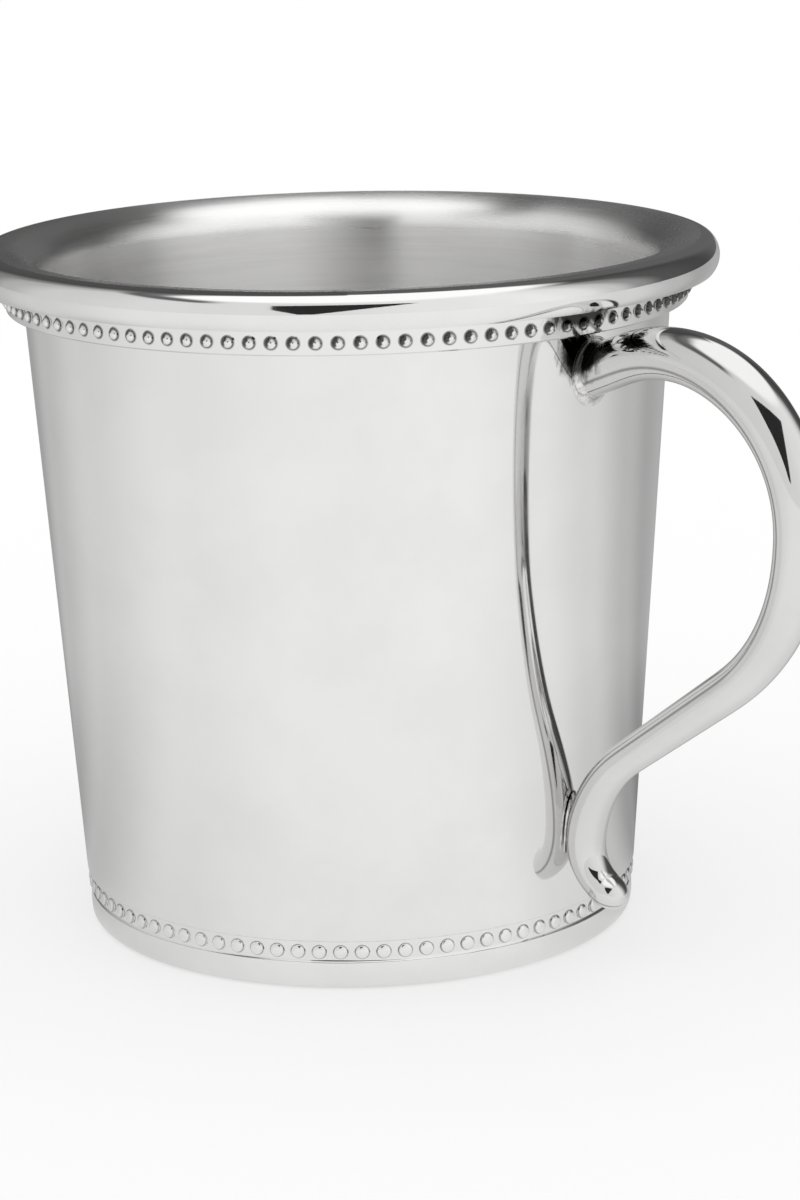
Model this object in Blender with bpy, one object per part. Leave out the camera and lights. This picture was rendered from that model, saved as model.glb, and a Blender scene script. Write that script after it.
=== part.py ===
"""A small pewter baby cup: a spun body, two beaded bands and a soldered scroll handle.

Metres, +Z up. The origin is the middle of the flat underside and the handle points along +X.
"""
import math

import bmesh
import bpy
from mathutils import Matrix, Vector

# Spun body
CUP_HEIGHT = 0.0635
RIM_DIAMETER = 0.0680
LIP_DIAMETER = 0.0031
LIP_OVERHANG = 0.0043
FOOT_DIAMETER = 0.0516
WALL_THICKNESS = 0.0016
FLOOR_THICKNESS = 0.0018
FOOT_EDGE_RADIUS = 0.0008
FOOT_TUCK = 0.00015
INNER_CORNER_RADIUS = 0.0050
RIM_CROWN_RADIUS = 0.0040
RIM_CROWN_INSET = 0.0022
RIM_FLARE_RADIUS = 0.0030

# Beaded band under the lip
RIM_BAND_HEIGHT = 0.0022
RIM_BAND_THICKNESS = 0.00135
RIM_BAND_CHAMFER = 0.0004
RIM_BEAD_COUNT = 104
RIM_BEAD_DIAMETER = 0.0010
RIM_BEAD_HEIGHT = 0.00045

# Beaded band let into the wall above the foot
FOOT_BAND_BASE = 0.0026
FOOT_BAND_HEIGHT = 0.00195
FOOT_BAND_THICKNESS = 0.0007
FOOT_BEAD_COUNT = 84
FOOT_BEAD_DIAMETER = 0.0013
FOOT_BEAD_HEIGHT = 0.0003

# Scroll handle: route of its spine, then thickness and width of its sections
HANDLE_PROJECTION = 0.0221
HANDLE_BELOW_BEADS = 0.0004
HANDLE_ROOT_DEGREES = 22.0
HANDLE_ROOT_LENGTH = 0.0032
HANDLE_SWEEP_DEGREES = 36.0
HANDLE_HEEL_TO_RETURN = 1.52
HANDLE_JOINT_HEIGHT = 0.0103
HANDLE_SADDLE_DEPTH = 0.0006
HANDLE_TAIL_RADIUS = 0.0032
HANDLE_TAIL_DEGREES = 75.0
HANDLE_TIP_LENGTH = 0.0022
ROOT_THICKNESS = 0.0044
ROOT_WIDTH = 0.0042
SHOULDER_THICKNESS = 0.0052
SHOULDER_WIDTH = 0.0049
REACH_THICKNESS = 0.0048
REACH_WIDTH = 0.0047
SWEEP_THICKNESS = 0.0037
SWEEP_WIDTH = 0.0037
WAIST_THICKNESS = 0.0032
WAIST_WIDTH = 0.0032
JOINT_THICKNESS = 0.0036
JOINT_WIDTH = 0.0036
TAIL_THICKNESS = 0.0031
TAIL_WIDTH = 0.0034

# Solder at the two handle joints
ROOT_SOLDER_LEG = 0.00045
ROOT_SOLDER_HOLLOW = 0.3
JOINT_SOLDER_WIDTH = 0.0026
JOINT_SOLDER_EDGE = 0.00015
JOINT_SOLDER_HEIGHT = 0.0009

# Clearances between pieces that seat on each other, and of the solder that wets the lower joint
SEAT_GAP = 0.00025
JOINT_SOLDER_GAP = 0.0001

# Fineness of the facets
BODY_SEGMENTS = 64
LIP_STEPS = 10
FLARE_STEPS = 6
CORNER_STEPS = 4
HANDLE_SIDES = 16
HANDLE_STEPS = 7
TIP_STEPS = 3
BEAD_SIDES = 8
SOLDER_SIDES = 24
JOINT_SOLDER_STEPS = 8
SMOOTH_ANGLE = math.radians(35)
MERGE_DISTANCE = 1e-7
SEARCH_STEP = 0.00005
SEARCH_ROUNDS = 10

# Colour and roughness of the bright metal and of the greyer solder
PEWTER = (0.78, 0.78, 0.77, 1.0)
PEWTER_ROUGHNESS = 0.12
SOLDER = (0.62, 0.62, 0.61, 1.0)
SOLDER_ROUGHNESS = 0.25


def crown_centre():
    """Centre of the arc over the top of the rim, in the profile plane."""
    return Vector((RIM_DIAMETER / 2 - RIM_CROWN_INSET, CUP_HEIGHT - RIM_CROWN_RADIUS))


def lip_centre():
    """Centre of the rolled lip, whose outside runs smoothly into the crown of the rim."""
    crown = crown_centre()
    across = RIM_DIAMETER / 2 - LIP_DIAMETER / 2 - crown.x
    reach = RIM_CROWN_RADIUS - LIP_DIAMETER / 2
    return crown + Vector((across, math.sqrt(reach ** 2 - across ** 2)))


def under_lip():
    """Height of the underside of the rolled lip."""
    return lip_centre().y - LIP_DIAMETER / 2


def wall_slope():
    """Outward run of the wall for each unit of height."""
    return (RIM_DIAMETER / 2 - LIP_OVERHANG - FOOT_DIAMETER / 2) / under_lip()


def wall_radius(height):
    """Outer radius of the tapered wall at a height above the base."""
    return FOOT_DIAMETER / 2 + height * wall_slope()


def rim_band_bottom():
    """Height of the lower edge of the band under the lip."""
    return under_lip() - SEAT_GAP - RIM_BAND_HEIGHT


def rim_band_radius():
    """Radius of the face that carries the upper beads."""
    return wall_radius(rim_band_bottom()) + SEAT_GAP + RIM_BAND_THICKNESS


def foot_band_radius(height):
    """Radius of the face that carries the lower beads, whose crests lie level with the wall."""
    return wall_radius(height) - FOOT_TUCK - FOOT_BEAD_HEIGHT


def arc(centre, radius, start, end, steps):
    """Points along an arc of the profile plane, angles in radians."""
    angles = [start + (end - start) * step / steps for step in range(steps + 1)]
    return [centre + radius * Vector((math.cos(angle), math.sin(angle))) for angle in angles]


def rounded(before, corner, after, radius, steps):
    """Arc that rounds the corner between two straight runs of a profile."""
    towards_before = (before - corner).normalized()
    towards_after = (after - corner).normalized()
    half_angle = towards_before.angle(towards_after) / 2
    centre = corner + (towards_before + towards_after).normalized() * radius / math.sin(half_angle)
    first = corner + towards_before * radius / math.tan(half_angle) - centre
    last = corner + towards_after * radius / math.tan(half_angle) - centre
    turn = first.angle_signed(last)
    return [centre + Matrix.Rotation(-turn * step / steps, 2) @ first for step in range(steps + 1)]


def inside_radius(height):
    """Inner radius of the tapered wall at a height above the base."""
    return wall_radius(height) - WALL_THICKNESS


def flare_centre():
    """Centre of the arc by which the inside of the wall flares out to the crown of the rim."""
    crown = crown_centre()
    slope = wall_slope()
    offset = RIM_FLARE_RADIUS * math.hypot(1.0, slope) + inside_radius(crown.y) - crown.x
    reach = RIM_CROWN_RADIUS - RIM_FLARE_RADIUS
    square = 1 + slope ** 2
    rise = (math.sqrt(square * reach ** 2 - offset ** 2) - slope * offset) / square
    return crown + Vector((offset + slope * rise, rise))


def rim_profile():
    """Rolled lip, crown and inner flare of the rim, each tangent to the next."""
    crown = crown_centre()
    lip = lip_centre()
    flare = flare_centre()
    to_lip = lip - crown
    to_flare = flare - crown
    lip_end = math.atan2(to_lip.y, to_lip.x)
    crown_end = math.atan2(to_flare.y, to_flare.x)
    flare_end = math.pi - math.atan(wall_slope())
    profile = arc(lip, LIP_DIAMETER / 2, -math.pi / 2, lip_end, LIP_STEPS)
    profile += arc(crown, RIM_CROWN_RADIUS, lip_end, crown_end, FLARE_STEPS)[1:]
    profile += arc(flare, RIM_FLARE_RADIUS, crown_end, flare_end, FLARE_STEPS)[1:]
    return profile


def body_profile():
    """Half section of the body, from the middle of the base up the outside and down the inside."""
    base = Vector((0.0, 0.0))
    floor = Vector((0.0, FLOOR_THICKNESS))
    foot_corner = Vector((wall_radius(0.0) - FOOT_TUCK, 0.0))
    seat_bottom = FOOT_BAND_BASE - SEAT_GAP
    seat_top = FOOT_BAND_BASE + FOOT_BAND_HEIGHT + SEAT_GAP
    seat_radius = foot_band_radius(FOOT_BAND_BASE) - FOOT_BAND_THICKNESS - SEAT_GAP
    foot_top = Vector((wall_radius(seat_bottom) - FOOT_TUCK, seat_bottom))
    wall_start = Vector((wall_radius(seat_top) - FOOT_TUCK, seat_top))
    throat = Vector((wall_radius(under_lip()), under_lip()))
    rim = rim_profile()
    inner_foot = Vector((inside_radius(FLOOR_THICKNESS), FLOOR_THICKNESS))

    profile = [base]
    profile += rounded(base, foot_corner, foot_top, FOOT_EDGE_RADIUS, CORNER_STEPS)
    profile += [foot_top, Vector((seat_radius, seat_bottom)), Vector((seat_radius, seat_top))]
    profile += [wall_start, throat]
    profile += rim
    profile += rounded(rim[-1], inner_foot, floor, INNER_CORNER_RADIUS, CORNER_STEPS)
    profile += [floor]
    return profile


def finish_object(name, mesh_builder, material, sharp_angle=SMOOTH_ANGLE):
    """Turn a bmesh into a named, smooth shaded object with its own material."""
    bmesh.ops.recalc_face_normals(mesh_builder, faces=mesh_builder.faces)
    mesh = bpy.data.meshes.new(name)
    mesh_builder.to_mesh(mesh)
    mesh_builder.free()
    mesh.shade_smooth()
    mesh.set_sharp_from_angle(angle=sharp_angle)
    mesh.materials.append(material)
    piece = bpy.data.objects.new(name, mesh)
    bpy.context.scene.collection.objects.link(piece)
    return piece


def metal(name, colour, roughness):
    """Plain metal surface."""
    material = bpy.data.materials.new(name)
    material.use_nodes = True
    shader = material.node_tree.nodes["Principled BSDF"]
    shader.inputs["Base Color"].default_value = colour
    shader.inputs["Metallic"].default_value = 1.0
    shader.inputs["Roughness"].default_value = roughness
    return material


def skin(mesh_builder, loops, closed=False):
    """Faces between successive closed loops of vertices."""
    pairs = list(zip(loops, loops[1:]))
    if closed:
        pairs.append((loops[-1], loops[0]))
    for first, second in pairs:
        count = len(first)
        for side in range(count):
            following = (side + 1) % count
            mesh_builder.faces.new((first[side], first[following], second[following], second[side]))


def fan(mesh_builder, loop, tip):
    """Triangles from a closed loop of vertices to one vertex."""
    for side, vertex in enumerate(loop):
        mesh_builder.faces.new((vertex, loop[(side + 1) % len(loop)], tip))


def make_body():
    """Spun shell: base, wall and rolled lip in one turning."""
    builder = bmesh.new()
    vertices = [builder.verts.new((point.x, 0.0, point.y)) for point in body_profile()]
    edges = [builder.edges.new(pair) for pair in zip(vertices, vertices[1:])]
    bmesh.ops.spin(
        builder,
        geom=vertices + edges,
        axis=(0.0, 0.0, 1.0),
        cent=(0.0, 0.0, 0.0),
        angle=2 * math.pi,
        steps=BODY_SEGMENTS,
        use_merge=True,
    )
    bmesh.ops.remove_doubles(builder, verts=builder.verts, dist=MERGE_DISTANCE)
    return finish_object("cup_body", builder, metal("body_pewter", PEWTER, PEWTER_ROUGHNESS))


def add_bead(builder, corners, diameter, height):
    """Fill a four sided panel with a round bead; corners run round the panel from its lower left."""
    centre = sum((corner.co for corner in corners), Vector()) / len(corners)
    across = (corners[1].co - corners[0].co).normalized()
    out = across.cross(corners[3].co - corners[0].co).normalized()
    up = out.cross(across)

    def ring(radius, lift):
        angles = [2 * math.pi * (side + 0.5) / BEAD_SIDES for side in range(BEAD_SIDES)]
        return [
            builder.verts.new(
                centre + radius * (math.cos(angle) * across + math.sin(angle) * up) + lift * out
            )
            for angle in angles
        ]

    diagonal = math.sqrt(0.5)
    base = ring(diameter / 2, 0.0)
    middle = ring(diameter / 2 * diagonal, height * diagonal)
    skin(builder, [base, middle])
    fan(builder, middle, builder.verts.new(centre + height * out))

    around = [corners[2], corners[3], corners[0], corners[1]]
    share = BEAD_SIDES // 4
    for quarter, corner in enumerate(around):
        first = quarter * share
        last = first + share - 1
        for side in range(first, last):
            builder.faces.new((corner, base[side + 1], base[side]))
        following = around[(quarter + 1) % 4]
        builder.faces.new((corner, following, base[(last + 1) % BEAD_SIDES], base[last]))


def make_beaded_band(name, section, bead_count, bead_diameter, bead_height, material):
    """Closed ring with a bead on each equal sector of the face between its first two points."""
    builder = bmesh.new()
    columns = []
    for index in range(bead_count):
        angle = 2 * math.pi * index / bead_count
        turn = Vector((math.cos(angle), math.sin(angle)))
        columns.append([builder.verts.new((turn.x * r, turn.y * r, z)) for r, z in section])
    for index, column in enumerate(columns):
        following = columns[(index + 1) % bead_count]
        corners = [column[0], following[0], following[1], column[1]]
        add_bead(builder, corners, bead_diameter, bead_height)
        for point in range(1, len(section)):
            upper = (point + 1) % len(section)
            builder.faces.new((column[point], following[point], following[upper], column[upper]))
    return finish_object(name, builder, material)


def make_rim_band():
    """Beaded ring in the corner between the wall and the rolled lip."""
    bottom = rim_band_bottom()
    top = bottom + RIM_BAND_HEIGHT
    face = rim_band_radius()
    inner_bottom = wall_radius(bottom) + SEAT_GAP
    inner_top = wall_radius(top) + SEAT_GAP
    section = [
        (face, bottom),
        (face, top),
        (inner_top + RIM_BAND_CHAMFER, top),
        (inner_top, top - RIM_BAND_CHAMFER),
        (inner_bottom, bottom),
    ]
    material = metal("rim_band_pewter", PEWTER, PEWTER_ROUGHNESS)
    return make_beaded_band(
        "rim_beaded_band", section, RIM_BEAD_COUNT, RIM_BEAD_DIAMETER, RIM_BEAD_HEIGHT, material
    )


def make_foot_band():
    """Beaded ring let into the groove above the foot."""
    bottom = FOOT_BAND_BASE
    top = bottom + FOOT_BAND_HEIGHT
    inner = foot_band_radius(bottom) - FOOT_BAND_THICKNESS
    section = [
        (foot_band_radius(bottom), bottom),
        (foot_band_radius(top), top),
        (inner, top),
        (inner, bottom),
    ]
    material = metal("foot_band_pewter", PEWTER, PEWTER_ROUGHNESS)
    return make_beaded_band(
        "foot_beaded_band", section, FOOT_BEAD_COUNT, FOOT_BEAD_DIAMETER, FOOT_BEAD_HEIGHT, material
    )


class HandleRoute:
    """Tangent arcs and one straight run that make the spine of the handle in the X-Z plane."""

    def __init__(self):
        root = math.radians(HANDLE_ROOT_DEGREES)
        sweep = math.radians(HANDLE_SWEEP_DEGREES)
        wall = wall_radius(rim_band_bottom())
        self.reach = wall + HANDLE_PROJECTION
        self.root_direction = Vector((math.cos(root), math.sin(root)))
        straight = HANDLE_ROOT_LENGTH * self.root_direction.x
        self.crown_radius = (HANDLE_PROJECTION - SEAT_GAP - straight) / (1 + math.sin(root))
        crown_x = self.reach - self.crown_radius

        # The upper surface of the handle passes just under the beads
        bead_edge = rim_band_radius() + RIM_BEAD_HEIGHT
        upper_radius = self.crown_radius + ROOT_THICKNESS / 2
        rise = math.sqrt(upper_radius ** 2 - (crown_x - bead_edge) ** 2)
        crown_z = rim_band_bottom() - HANDLE_BELOW_BEADS - rise

        # The joint is filed to a saddle that fits the wall
        joint_x = wall_radius(HANDLE_JOINT_HEIGHT) + SEAT_GAP + JOINT_THICKNESS / 2 - HANDLE_SADDLE_DEPTH

        # Radii of the two bends that fit the sweep between the outermost point and the joint
        across = self.reach - joint_x
        drop = crown_z - HANDLE_JOINT_HEIGHT
        radii = (drop * math.cos(sweep) - across * math.sin(sweep)) / (1 - math.sin(sweep))
        self.return_radius = radii / (1 + HANDLE_HEEL_TO_RETURN)
        self.heel_radius = radii - self.return_radius

        self.crown = Vector((crown_x, crown_z))
        self.heel = Vector((self.reach - self.heel_radius, crown_z))
        self.bend = Vector((joint_x + self.return_radius, HANDLE_JOINT_HEIGHT))
        self.tail = Vector((joint_x + HANDLE_TAIL_RADIUS, HANDLE_JOINT_HEIGHT))
        self.root_angle = math.pi / 2 + root
        self.heel_angle = sweep - math.pi / 2
        self.tail_angle = math.pi + math.radians(HANDLE_TAIL_DEGREES)

    def spine(self):
        """Points of the spine with their sections, as (point, thickness, width)."""
        half_crown = self.root_angle / 2
        runs = [
            arc(self.crown, self.crown_radius, self.root_angle, half_crown, HANDLE_STEPS),
            arc(self.crown, self.crown_radius, half_crown, 0.0, HANDLE_STEPS),
            arc(self.heel, self.heel_radius, 0.0, self.heel_angle, HANDLE_STEPS),
            arc(self.bend, self.return_radius, math.pi + self.heel_angle, math.pi, HANDLE_STEPS),
            arc(self.tail, HANDLE_TAIL_RADIUS, math.pi, self.tail_angle, HANDLE_STEPS),
        ]
        sections = [
            ((ROOT_THICKNESS, ROOT_WIDTH), (SHOULDER_THICKNESS, SHOULDER_WIDTH)),
            ((SHOULDER_THICKNESS, SHOULDER_WIDTH), (REACH_THICKNESS, REACH_WIDTH)),
            ((REACH_THICKNESS, REACH_WIDTH), (SWEEP_THICKNESS, SWEEP_WIDTH)),
            ((WAIST_THICKNESS, WAIST_WIDTH), (JOINT_THICKNESS, JOINT_WIDTH)),
            ((JOINT_THICKNESS, JOINT_WIDTH), (TAIL_THICKNESS, TAIL_WIDTH)),
        ]
        root = runs[0][0] - HANDLE_ROOT_LENGTH * self.root_direction
        stations = [(root, ROOT_THICKNESS, ROOT_WIDTH)]
        for points, (start, end) in zip(runs, sections):
            for step, point in enumerate(points):
                share = step / HANDLE_STEPS
                ease = share * share * (3 - 2 * share)
                size = Vector(start).lerp(Vector(end), ease)
                if (stations[-1][0] - point).length > SEAT_GAP:
                    stations.append((point, size.x, size.y))
        return stations


def handle_ring(point, heading, thickness, width, sides):
    """Oval of points square to the spine, with the spine lying in the X-Z plane."""
    ring = []
    for side in range(sides):
        angle = 2 * math.pi * side / sides
        rise = math.cos(angle) * thickness / 2
        ring.append(
            Vector((
                point.x - heading.y * rise,
                math.sin(angle) * width / 2,
                point.y + heading.x * rise,
            ))
        )
    return ring


def slide_to_wall(point, heading):
    """Move a point along the spine's heading until it lies one seat gap off the wall."""
    direction = Vector((heading.x, 0.0, heading.y))
    moved = point.copy()
    for _ in range(SEARCH_ROUNDS):
        excess = math.hypot(moved.x, moved.y) - wall_radius(moved.z) - SEAT_GAP
        moved -= direction * excess / heading.x
    return moved


def clear_of_wall(point):
    """Push a point straight out where it would come nearer the wall than the seat gap."""
    scale = max(1.0, (wall_radius(point.z) + SEAT_GAP) / math.hypot(point.x, point.y))
    return Vector((point.x * scale, point.y * scale, point.z))


def make_handle(route):
    """Cast scroll handle, seated on the wall at its root and at its lower joint."""
    builder = bmesh.new()
    stations = route.spine()
    points = [station[0] for station in stations]
    headings = [
        (points[min(index + 1, len(points) - 1)] - points[max(index - 1, 0)]).normalized()
        for index in range(len(points))
    ]
    headings[0] = route.root_direction
    headings[-1] = Vector((-math.sin(route.tail_angle), math.cos(route.tail_angle)))

    loops = []
    for (point, thickness, width), heading in zip(stations, headings):
        ring = handle_ring(point, heading, thickness, width, HANDLE_SIDES)
        if not loops:
            ring = [slide_to_wall(corner, heading) for corner in ring]
        loops.append([clear_of_wall(corner) for corner in ring])

    end, heading = points[-1], headings[-1]
    for step in range(1, TIP_STEPS + 1):
        angle = math.pi / 2 * step / (TIP_STEPS + 1)
        place = end + heading * HANDLE_TIP_LENGTH * math.sin(angle)
        shrink = math.cos(angle)
        loops.append(
            handle_ring(place, heading, TAIL_THICKNESS * shrink, TAIL_WIDTH * shrink, HANDLE_SIDES)
        )

    rings = [[builder.verts.new(corner) for corner in loop] for loop in loops]
    skin(builder, rings)
    root_middle = slide_to_wall(Vector((points[0].x, 0.0, points[0].y)), headings[0])
    fan(builder, rings[0], builder.verts.new(root_middle))
    tip = end + heading * HANDLE_TIP_LENGTH
    fan(builder, rings[-1], builder.verts.new((tip.x, 0.0, tip.y)))
    return finish_object("handle", builder, metal("handle_pewter", PEWTER, PEWTER_ROUGHNESS))


def make_root_solder(route):
    """Concave fillet of solder round the root of the handle."""
    builder = bmesh.new()
    heading = route.root_direction
    direction = Vector((heading.x, 0.0, heading.y))
    root = route.spine()[0][0]
    leg = ROOT_SOLDER_LEG
    hollow = ROOT_SOLDER_LEG * ROOT_SOLDER_HOLLOW
    fillet = [(0.0, 0.0), (leg, 0.0), (hollow, hollow), (0.0, leg)]
    loops = []
    for spread, lift in fillet:
        grow = 2 * (SEAT_GAP + spread)
        ring = handle_ring(root, heading, ROOT_THICKNESS + grow, ROOT_WIDTH + grow, SOLDER_SIDES)
        on_wall = [slide_to_wall(corner, heading) for corner in ring]
        loops.append([builder.verts.new(corner + direction * lift) for corner in on_wall])
    skin(builder, loops, closed=True)
    return finish_object("upper_handle_solder", builder, metal("upper_solder", SOLDER, SOLDER_ROUGHNESS))


def joint_space(route, across, height):
    """Inner and outer bound of the space between wall and handle, off its plane and over its joint."""
    wall = math.sqrt((wall_radius(height) + JOINT_SOLDER_GAP) ** 2 - across ** 2)
    half_section = JOINT_THICKNESS / 2 * math.sqrt(1 - (2 * across / JOINT_WIDTH) ** 2)
    bend = route.return_radius + half_section
    handle = route.bend.x - math.sqrt(bend ** 2 - (height - HANDLE_JOINT_HEIGHT) ** 2)
    return wall, handle - JOINT_SOLDER_GAP


def make_joint_solder(route):
    """Arch of solder in the crotch between the wall and the handle, above the lower joint."""
    builder = bmesh.new()
    loops = []
    for step in range(JOINT_SOLDER_STEPS + 1):
        across = JOINT_SOLDER_WIDTH * (step / JOINT_SOLDER_STEPS - 0.5)
        bottom = HANDLE_JOINT_HEIGHT
        inner, outer = joint_space(route, across, bottom)
        while outer - inner < JOINT_SOLDER_EDGE:
            bottom += SEARCH_STEP
            inner, outer = joint_space(route, across, bottom)
        top = bottom + JOINT_SOLDER_HEIGHT
        top_inner, top_outer = joint_space(route, across, top)
        section = [(inner, bottom), (outer, bottom), (top_outer, top), (top_inner, top)]
        loops.append([builder.verts.new((x, across, z)) for x, z in section])
    skin(builder, loops)
    builder.faces.new(loops[0])
    builder.faces.new(loops[-1])
    return finish_object("lower_handle_solder", builder, metal("lower_solder", SOLDER, SOLDER_ROUGHNESS))


def main():
    """Clear the scene and build the cup."""
    for leftover in list(bpy.data.objects):
        bpy.data.objects.remove(leftover, do_unlink=True)
    route = HandleRoute()
    assembly = bpy.data.objects.new("baby_cup", None)
    bpy.context.scene.collection.objects.link(assembly)
    pieces = [
        make_body(),
        make_rim_band(),
        make_foot_band(),
        make_handle(route),
        make_root_solder(route),
        make_joint_solder(route),
    ]
    for piece in pieces:
        piece.parent = assembly


main()
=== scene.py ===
"""Looks of the pewter baby cup: fine meshes in the place of the CAD nodes, metal materials and a white studio."""
import math

import bpy
import numpy as np
from mathutils import Matrix, Vector


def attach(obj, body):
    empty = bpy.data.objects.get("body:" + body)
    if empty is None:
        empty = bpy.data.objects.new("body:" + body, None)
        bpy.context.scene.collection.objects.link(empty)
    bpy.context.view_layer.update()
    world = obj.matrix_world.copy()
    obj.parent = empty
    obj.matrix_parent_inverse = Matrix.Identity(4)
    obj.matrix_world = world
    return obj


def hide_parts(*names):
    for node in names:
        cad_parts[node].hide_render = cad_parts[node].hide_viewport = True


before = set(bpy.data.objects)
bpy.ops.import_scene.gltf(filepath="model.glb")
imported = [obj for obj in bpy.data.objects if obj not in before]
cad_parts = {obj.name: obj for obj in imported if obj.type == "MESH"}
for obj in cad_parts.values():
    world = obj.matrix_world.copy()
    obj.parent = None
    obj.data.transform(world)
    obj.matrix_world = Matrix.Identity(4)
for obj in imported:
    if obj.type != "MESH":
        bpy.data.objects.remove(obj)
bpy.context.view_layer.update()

MM = 0.001
TAU = 2 * math.pi

# Sizes of the cup in millimetres, from the CAD model, with a fuller lip and a straighter foot
CUP_HEIGHT = 63.5
RIM_RADIUS = 34.0
LIP_RADIUS = 1.55
LIP_OVERHANG = 4.3
LIP_BELLY = 2.03
LIP_BROW = 1.25
LIP_TURN = math.radians(40)
FOOT_RADIUS = 25.8
WALL = 1.6
FLOOR = 1.8
INNER_CORNER = 5.0
CROWN_RADIUS = 4.0
CROWN_INSET = 2.2
RIM_FLARE = 3.0
SATIN_EDGE = math.radians(83)
FOOT_TUCK = 0.15
FOOT_EDGE = 0.85
FOOT_SIDE = 9.0
FOOT_BULGE = 0.05
FOOT_SHOULDER = 0.08
GROOVE_EDGE = 0.14
GROOVE_DEPTH = 0.4
RIM_BAND_HEIGHT = 2.2
RIM_BAND_FACE = 1.6
RIM_BEADS = 104
RIM_BEAD_DIAMETER = 1.0
RIM_BEAD_HEIGHT = 0.45
RIM_BEAD_DROP = 0.1
FOOT_BAND_BASE = 2.6
FOOT_BAND_HEIGHT = 1.95
FOOT_BEADS = 84
FOOT_BEAD_DIAMETER = 1.3
FOOT_BEAD_HEIGHT = 0.3
FOOT_BAND_DEPTH = 0.35
FOOT_BAND_FILLET = 0.13
BAND_CHAMFER = 0.12
BEAD_SIDES = 20
BEAD_SINK = 0.02
SEAT_GAP = 0.25
TOUCH = 0.02

# Handle route and sections in millimetres; the tail bends wider here than in the CAD model
PROJECTION = 22.1
BELOW_BEADS = 0.4
ROOT_ANGLE = math.radians(22)
ROOT_LENGTH = 3.2
SWEEP_ANGLE = math.radians(36)
HEEL_TO_RETURN = 1.52
JOINT_HEIGHT = 10.3
SADDLE = 0.6
TAIL_LEAD = math.radians(6.2)
TAIL_RADIUS = 4.2
TAIL_ANGLE = math.radians(66)
TIP_LENGTH = 2.2
ROOT_SIZE = (4.4, 4.2)
SHOULDER_SIZE = (5.2, 4.9)
REACH_SIZE = (4.8, 4.7)
SWEEP_SIZE = (3.7, 3.7)
WAIST_SIZE = (3.2, 3.2)
JOINT_SIZE = (3.6, 3.6)
TAIL_SIZE = (3.1, 3.4)
SECTION_POWER = 1.8
HANDLE_RINGS = 210
HANDLE_SIDES = 56
TIP_RINGS = 20
# Turns in degrees round the handle's section of two painted dark lines along its sides, standing in for dark
# reflections, and their width
PAINTED_LINE_TURNS = (116, 244)
PAINTED_LINE_WIDTH = 5.0

# Solder at the two joints of the handle, in millimetres
ROOT_SOLDER_LEG = 0.55
JOINT_SOLDER_WIDTH = 2.6
JOINT_SOLDER_EDGE = 0.15
JOINT_SOLDER_HEIGHT = 0.9
JOINT_SOLDER_HOLLOW = 0.55

# Painted dark reflection beside the handle's root: middles and half sizes of its spots
PAINTED_ROOT_SPOTS = [((29.6, -2.3, 56.3), (2.3, 2.4, 2.9)), ((31.4, -3.8, 59.8), (2.4, 4.2, 1.35))]

# Darkest and lightest tone of each metal, with the handle's set darker as painted shade and the inside's set
# lighter as painted light, and the dark of the painted reflection by the root and of the painted dark marks
BRIGHT_TONES = ((0.785, 0.783, 0.778), (0.815, 0.813, 0.809))
# The handle's pewter is set darker than the body's, as painted shade
HANDLE_PAINTED_SHADE_TONES = ((0.69, 0.688, 0.683), (0.72, 0.718, 0.713))
# The inside's pewter is set lighter than the outside's as painted light; its mottling follows the turning marks
SATIN_PAINTED_LIGHT_TONES = ((0.88, 0.877, 0.87), (0.96, 0.957, 0.95))
UNDERSIDE_TONES = ((0.66, 0.655, 0.645), (0.82, 0.817, 0.81))
SOLDER_TONES = ((0.58, 0.575, 0.565), (0.80, 0.797, 0.79))
PAINTED_ROOT_DARK = (0.02, 0.02, 0.019)
PAINTED_DARK_TONE = (0.05, 0.049, 0.047)

# Camera of the photograph, in the frame where it stands on the -Y side, and the turn of the handle
PHOTO_FOCAL = 3519.7
PHOTO_HEIGHT = 1200
CAMERA_DISTANCE = 319.99
CAMERA_HEIGHT = 108.55
CAMERA_YAW = 0.0132
CAMERA_PITCH = -0.2432
CAMERA_ROLL = -0.0210
HANDLE_TURN = math.radians(44)


# Cup profile

def crown_centre():
    return np.array([RIM_RADIUS - CROWN_INSET, CUP_HEIGHT - CROWN_RADIUS])


def lip_centre():
    crown = crown_centre()
    across = RIM_RADIUS - LIP_RADIUS - crown[0]
    return crown + np.array([across, math.sqrt((CROWN_RADIUS - LIP_RADIUS) ** 2 - across ** 2)])


UNDER_LIP = lip_centre()[1] - LIP_RADIUS
SLOPE = (RIM_RADIUS - LIP_OVERHANG - FOOT_RADIUS) / UNDER_LIP
RIM_BAND_BOTTOM = UNDER_LIP - SEAT_GAP - RIM_BAND_HEIGHT


def wall_radius(height):
    return FOOT_RADIUS + height * SLOPE


def inside_radius(height):
    return wall_radius(height) - WALL


RIM_FACE = wall_radius(RIM_BAND_BOTTOM) + RIM_BAND_FACE


def foot_face(height):
    return wall_radius(height) - FOOT_TUCK - FOOT_BEAD_HEIGHT


def arc(centre, radius, start, end, steps):
    angles = np.linspace(start, end, steps + 1)
    return [np.array(centre) + radius * np.array([math.cos(a), math.sin(a)]) for a in angles]


def flare_centre():
    crown = crown_centre()
    offset = RIM_FLARE * math.hypot(1.0, SLOPE) + inside_radius(crown[1]) - crown[0]
    square = 1 + SLOPE ** 2
    reach = CROWN_RADIUS - RIM_FLARE
    rise = (math.sqrt(square * reach ** 2 - offset ** 2) - SLOPE * offset) / square
    return crown + np.array([offset + SLOPE * rise, rise])


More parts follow.
